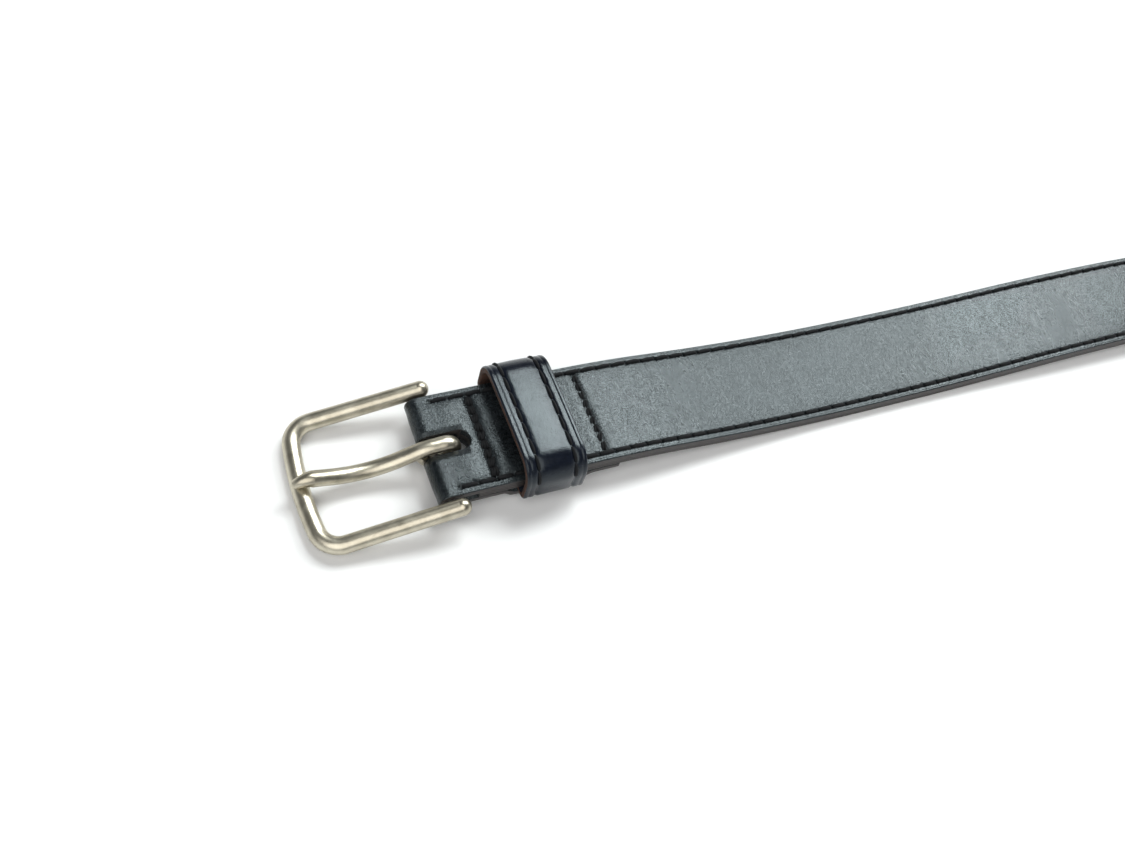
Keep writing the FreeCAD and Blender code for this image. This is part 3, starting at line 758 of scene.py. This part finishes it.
def bump(tree, height, distance, strength, normal=None):
    node = add(tree, "ShaderNodeBump")
    node.inputs["Strength"].default_value = strength
    node.inputs["Distance"].default_value = distance
    tree.links.new(height, node.inputs["Height"])
    if normal is not None:
        tree.links.new(normal, node.inputs["Normal"])
    return node.outputs["Normal"]


def finish_with(tree, shader, colour, roughness, normal):
    """Link what varies over the surface to the shader."""
    tree.links.new(colour, shader.inputs["Base Color"])
    tree.links.new(roughness, shader.inputs["Roughness"])
    tree.links.new(normal, shader.inputs["Normal"])


# ---------------------------------------------------------------- materials

# the blue cast that the polish gives the black leather's highlights
POLISH_TINT = (0.86, 0.97, 1.0, 1.0)
# how worn the gloss is along the strap: (millimetres from the bar, how much duller)
POLISH_RUN = 300.0
STRAP_POLISH = [(0.0, 0.0), (55.0, 0.0), (95.0, 0.26), (140.0, 0.22), (175.0, 0.0)]


def leather_material(name, dark, light, roughness, gloss_level, grain=1.0, wrinkle=1.0, polish=None):
    """Polished grain leather: mottled pores, fine creases across the strap, uneven gloss."""
    made, tree, shader = material(name)
    coords = object_coords(tree)
    pores = cells(tree, coords, 2100.0)
    fine = noise(tree, coords, 1300.0, 6.0, 0.65)
    across = noise(tree, coords, 800.0, 5.0, 0.6, (1.0, 0.16, 0.6))
    broad = noise(tree, coords, 45.0, 3.0, 0.5)
    normal = bump(tree, maths(tree, "ADD", pores, fine), 0.00012 * grain, 0.75)
    normal = bump(tree, across, 0.00013 * wrinkle, 0.65, normal)
    normal = bump(tree, broad, 0.0009, 0.22, normal)
    colour = ramp(tree, mixed(tree, fine, 0.55, broad, 0.45), [(0.42, dark), (0.60, light)])
    dullness = mixed(tree, across, 0.4, broad, 0.6)
    if polish:
        dullness = maths(tree, "ADD", dullness, polish_along(tree, coords, polish))
    smoothest, roughest = roughness
    finish_with(tree, shader, colour, ramp(tree, dullness, [(0.3, smoothest), (0.7, roughest)]), normal)
    shader.inputs["Specular IOR Level"].default_value = gloss_level
    shader.inputs["Specular Tint"].default_value = POLISH_TINT
    return made


def polish_along(tree, coords, stops):
    """How worn the gloss is along the strap, as a ramp over the distance from the bar."""
    split = add(tree, "ShaderNodeSeparateXYZ")
    tree.links.new(coords, split.inputs["Vector"])
    from_bar = maths(tree, "SUBTRACT", split.outputs["X"], BAR_X * MM)
    share = maths(tree, "DIVIDE", from_bar, POLISH_RUN * MM)
    return ramp(tree, share, [(run / POLISH_RUN, value) for run, value in stops])


def metal_material(name, dark, light, roughness):
    """Satin metal: tumbled haze, faint dimples and slightly duller patches."""
    made, tree, shader = material(name)
    coords = object_coords(tree)
    haze = noise(tree, coords, 180.0, 5.0, 0.6)
    fine = noise(tree, coords, 1800.0, 4.0, 0.7)
    dimples = noise(tree, coords, 420.0, 2.0, 0.5)
    colour = ramp(tree, haze, [(0.35, dark), (0.62, light)])
    smoothest, roughest = roughness
    dullness = ramp(tree, mixed(tree, haze, 0.6, fine, 0.4), [(0.3, smoothest), (0.7, roughest)])
    normal = bump(tree, dimples, 0.00009, 0.3, bump(tree, fine, 0.00003, 0.3))
    finish_with(tree, shader, colour, dullness, normal)
    shader.inputs["Metallic"].default_value = 1.0
    return made


def plain_material(name, texture, colours, roughness, bump_distance, bump_strength):
    """A dull surface whose colour, roughness and relief follow one texture."""
    made, tree, shader = material(name)
    pattern = noise(tree, object_coords(tree), *texture)
    (dark_at, dark), (light_at, light) = colours
    smoothest, roughest = roughness
    finish_with(tree, shader, ramp(tree, pattern, [(dark_at, dark), (light_at, light)]),
                ramp(tree, pattern, [(0.3, smoothest), (0.7, roughest)]),
                bump(tree, pattern, bump_distance, bump_strength))
    return made, shader


def thread_material():
    """Waxed black thread with a faint twist."""
    made, shader = plain_material("waxed_thread", (2200.0, 3.0, 0.6, (1.0, 0.5, 1.0)),
                                  [(0.3, (0.002, 0.002, 0.003)), (0.7, (0.007, 0.008, 0.009))],
                                  (0.65, 0.85), 0.0001, 0.8)
    shader.inputs["Specular IOR Level"].default_value = 0.25
    return made


def edge_material():
    """The cut layers under black edge paint."""
    return plain_material("painted_edge", (600.0, 4.0, 0.6, (0.3, 1.0, 2.0)),
                          [(0.3, (0.018, 0.016, 0.016)), (0.7, (0.04, 0.034, 0.032))],
                          (0.42, 0.6), 0.00012, 0.5)[0]


def raw_material():
    """The undyed flesh side inside the keeper: fibrous rust brown."""
    return plain_material("raw_flesh_side", (1400.0, 6.0, 0.7, (1.0, 0.5, 1.0)),
                          [(0.35, (0.012, 0.007, 0.006)), (0.68, (0.10, 0.042, 0.022))],
                          (0.75, 0.95), 0.0003, 0.8)[0]


def floor_material():
    made, tree, shader = material("pale_floor")
    grain = noise(tree, object_coords(tree), 300.0, 3.0, 0.5)
    tree.links.new(ramp(tree, grain, [(0.0, 0.84), (1.0, 0.87)]), shader.inputs["Base Color"])
    shader.inputs["Roughness"].default_value = 0.9
    shader.inputs["Specular IOR Level"].default_value = 0.1
    return made


def give(obj, *materials):
    """Put these materials, and no others, on an object."""
    obj.data.materials.clear()
    for made in materials:
        obj.data.materials.append(made)


def paint_sides(skin):
    """The cut sides of a layer take its second material."""
    for polygon in skin.data.polygons:
        if abs(polygon.normal.y) > 0.9:
            polygon.material_index = 1


def paint_keeper_inside(loop):
    """Faces on the inside of the loop and in its cut ends take its second material."""
    middle = Vector(((BAR_X + KEEPER_X) * MM, 0, (FACE_TOP + 1) * MM))
    for polygon in loop.data.polygons:
        toward = middle - polygon.center
        toward.x = 0
        if polygon.normal.dot(toward.normalized()) > 0.5 or abs(polygon.normal.x) > 0.97:
            polygon.material_index = 1


def dress_strap(thread):
    """The strap's layers and threads."""
    face = leather_material("face_grain", (0.002, 0.003, 0.004), (0.022, 0.027, 0.030),
                            (0.15, 0.32), 0.52, polish=STRAP_POLISH)
    lining = leather_material("lining_grain", (0.016, 0.015, 0.015), (0.030, 0.027, 0.026),
                              (0.5, 0.66), 0.4, grain=1.4, wrinkle=0.8)
    edge = edge_material()
    for name, node, start, section, grain in (
            ("face_leather", "strap_face", -TURNBACK.length(), face_section, face),
            ("lining_leather", "strap_lining", LINING_START, lining_section, lining)):
        skin = make_skin(name, node, start, section)
        give(skin, grain, edge)
        paint_sides(skin)
    give(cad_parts["strap_filler"], edge)
    for row in make_edge_threads() + make_cross_threads():
        give(row, thread)


def dress_keeper(thread):
    """The keeper, with its raw inside, and its threads."""
    keeper = leather_material("keeper_grain", (0.002, 0.003, 0.007), (0.005, 0.007, 0.014),
                              (0.15, 0.27), 0.38, grain=0.4, wrinkle=0.4)
    loop = make_keeper()
    give(loop, keeper, raw_material())
    paint_keeper_inside(loop)
    for row in make_keeper_threads():
        give(row, thread)


def dress_buckle():
    """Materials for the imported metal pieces."""
    nickel = metal_material("satin_nickel", (0.40, 0.365, 0.285), (0.585, 0.545, 0.44), (0.27, 0.40))
    rod = metal_material("drawn_rod", (0.25, 0.24, 0.22), (0.55, 0.54, 0.52), (0.3, 0.45))
    for node, metal in (("buckle_frame", nickel), ("buckle_prong", nickel), ("buckle_bar", rod)):
        give(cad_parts[node], metal)


# ---------------------------------------------------------------- stage, light, camera

FLOOR_HALF, FLOOR_Z = 6.0, -0.0002

# name, place from the buckle in metres, size in metres, power in watts
SOFTBOXES = [
    ("overhead_softbox", (0.70, 0.90, 1.80), (0.84, 0.78), 27.0),
    ("far_softbox", (2.00, 1.00, 1.90), (1.10, 1.10), 46.0),
]
SOFTBOX_COLOUR = (0.96, 1.0, 1.0)
FILL_POWER, FILL_SPREAD, FILL_COLOUR = 1.65, 60.0, (1.0, 0.99, 0.97)
FILL_DIRECTION = (0.35, 0.45, -0.80)

# upward share of the direction, and the studio's colour there
WALLS = [(0.0, (0.84, 0.85, 0.86)), (0.16, (0.76, 0.78, 0.79)),
         (0.36, (0.24, 0.25, 0.26)), (0.50, (0.10, 0.105, 0.11))]

# the camera: angles in degrees, distance in metres, aim from the bar in millimetres
VIEW_TURN, VIEW_RISE, VIEW_ROLL = -38.74, 55.78, 20.93
VIEW_DISTANCE = 0.2985
VIEW_AIM = (37.1, 1.4, 4.07)
LENS, SENSOR = 35.76, 36.0


def link_new(name, data):
    obj = bpy.data.objects.new(name, data)
    bpy.context.scene.collection.objects.link(obj)
    return obj


def make_floor():
    corners = [(-1, -1), (1, -1), (1, 1), (-1, 1)]
    verts = [(x * FLOOR_HALF, y * FLOOR_HALF, FLOOR_Z) for x, y in corners]
    floor = new_object("floor", verts, [(0, 1, 2, 3)], smooth=False)
    give(floor, floor_material())


def make_world():
    """A dim studio whose pale walls rise a little above the floor."""
    world = bpy.data.worlds.new("studio")
    bpy.context.scene.world = world
    world.use_nodes = True
    tree = world.node_tree
    split = add(tree, "ShaderNodeSeparateXYZ")
    tree.links.new(add(tree, "ShaderNodeTexCoord").outputs["Generated"], split.inputs["Vector"])
    tree.links.new(ramp(tree, split.outputs["Z"], WALLS), tree.nodes["Background"].inputs["Color"])


def make_softbox(name, place_at, aim, box_size, power):
    lamp = bpy.data.lights.new(name, "AREA")
    lamp.shape = "RECTANGLE"
    lamp.size, lamp.size_y = box_size
    lamp.energy = power
    lamp.color = SOFTBOX_COLOUR
    obj = link_new(name, lamp)
    obj.location = place_at
    obj.rotation_euler = (aim - place_at).to_track_quat("-Z", "Y").to_euler()


def make_lights():
    middle = Vector((BAR_X * MM + 0.05, 0.0, 0.0))
    for name, offset, box_size, power in SOFTBOXES:
        make_softbox(name, middle + Vector(offset), middle, box_size, power)
    sun = bpy.data.lights.new("front_fill", "SUN")
    sun.energy = FILL_POWER
    sun.angle = math.radians(FILL_SPREAD)
    sun.color = FILL_COLOUR
    fill = link_new("front_fill", sun)
    fill.rotation_euler = Vector(FILL_DIRECTION).to_track_quat("-Z", "Y").to_euler()


def make_camera():
    """Stands where the view was taken from: angles, distance and roll of that view."""
    turn, rise, roll = math.radians(VIEW_TURN), math.radians(VIEW_RISE), math.radians(VIEW_ROLL)
    back = Vector((math.sin(turn) * math.cos(rise), -math.cos(turn) * math.cos(rise), math.sin(rise)))
    aim = Vector((BAR_X + VIEW_AIM[0], VIEW_AIM[1], VIEW_AIM[2])) * MM
    right = (-back).cross(Vector((0, 0, 1))).normalized()
    up = right.cross(-back)
    rolled_right = right * math.cos(roll) + up * math.sin(roll)
    rolled_up = up * math.cos(roll) - right * math.sin(roll)
    data = bpy.data.cameras.new("photo_camera")
    data.lens = LENS
    data.sensor_width = SENSOR
    data.clip_start = 0.01
    camera = link_new("photo_camera", data)
    camera.rotation_mode = "QUATERNION"
    camera.rotation_quaternion = Matrix((rolled_right, rolled_up, back)).transposed().to_quaternion()
    camera.location = aim + back * VIEW_DISTANCE
    bpy.context.scene.camera = camera


bpy.context.scene.view_settings.view_transform = "Standard"
make_floor()
make_world()
make_lights()
make_camera()
thread = thread_material()
dress_strap(thread)
dress_keeper(thread)
dress_buckle()
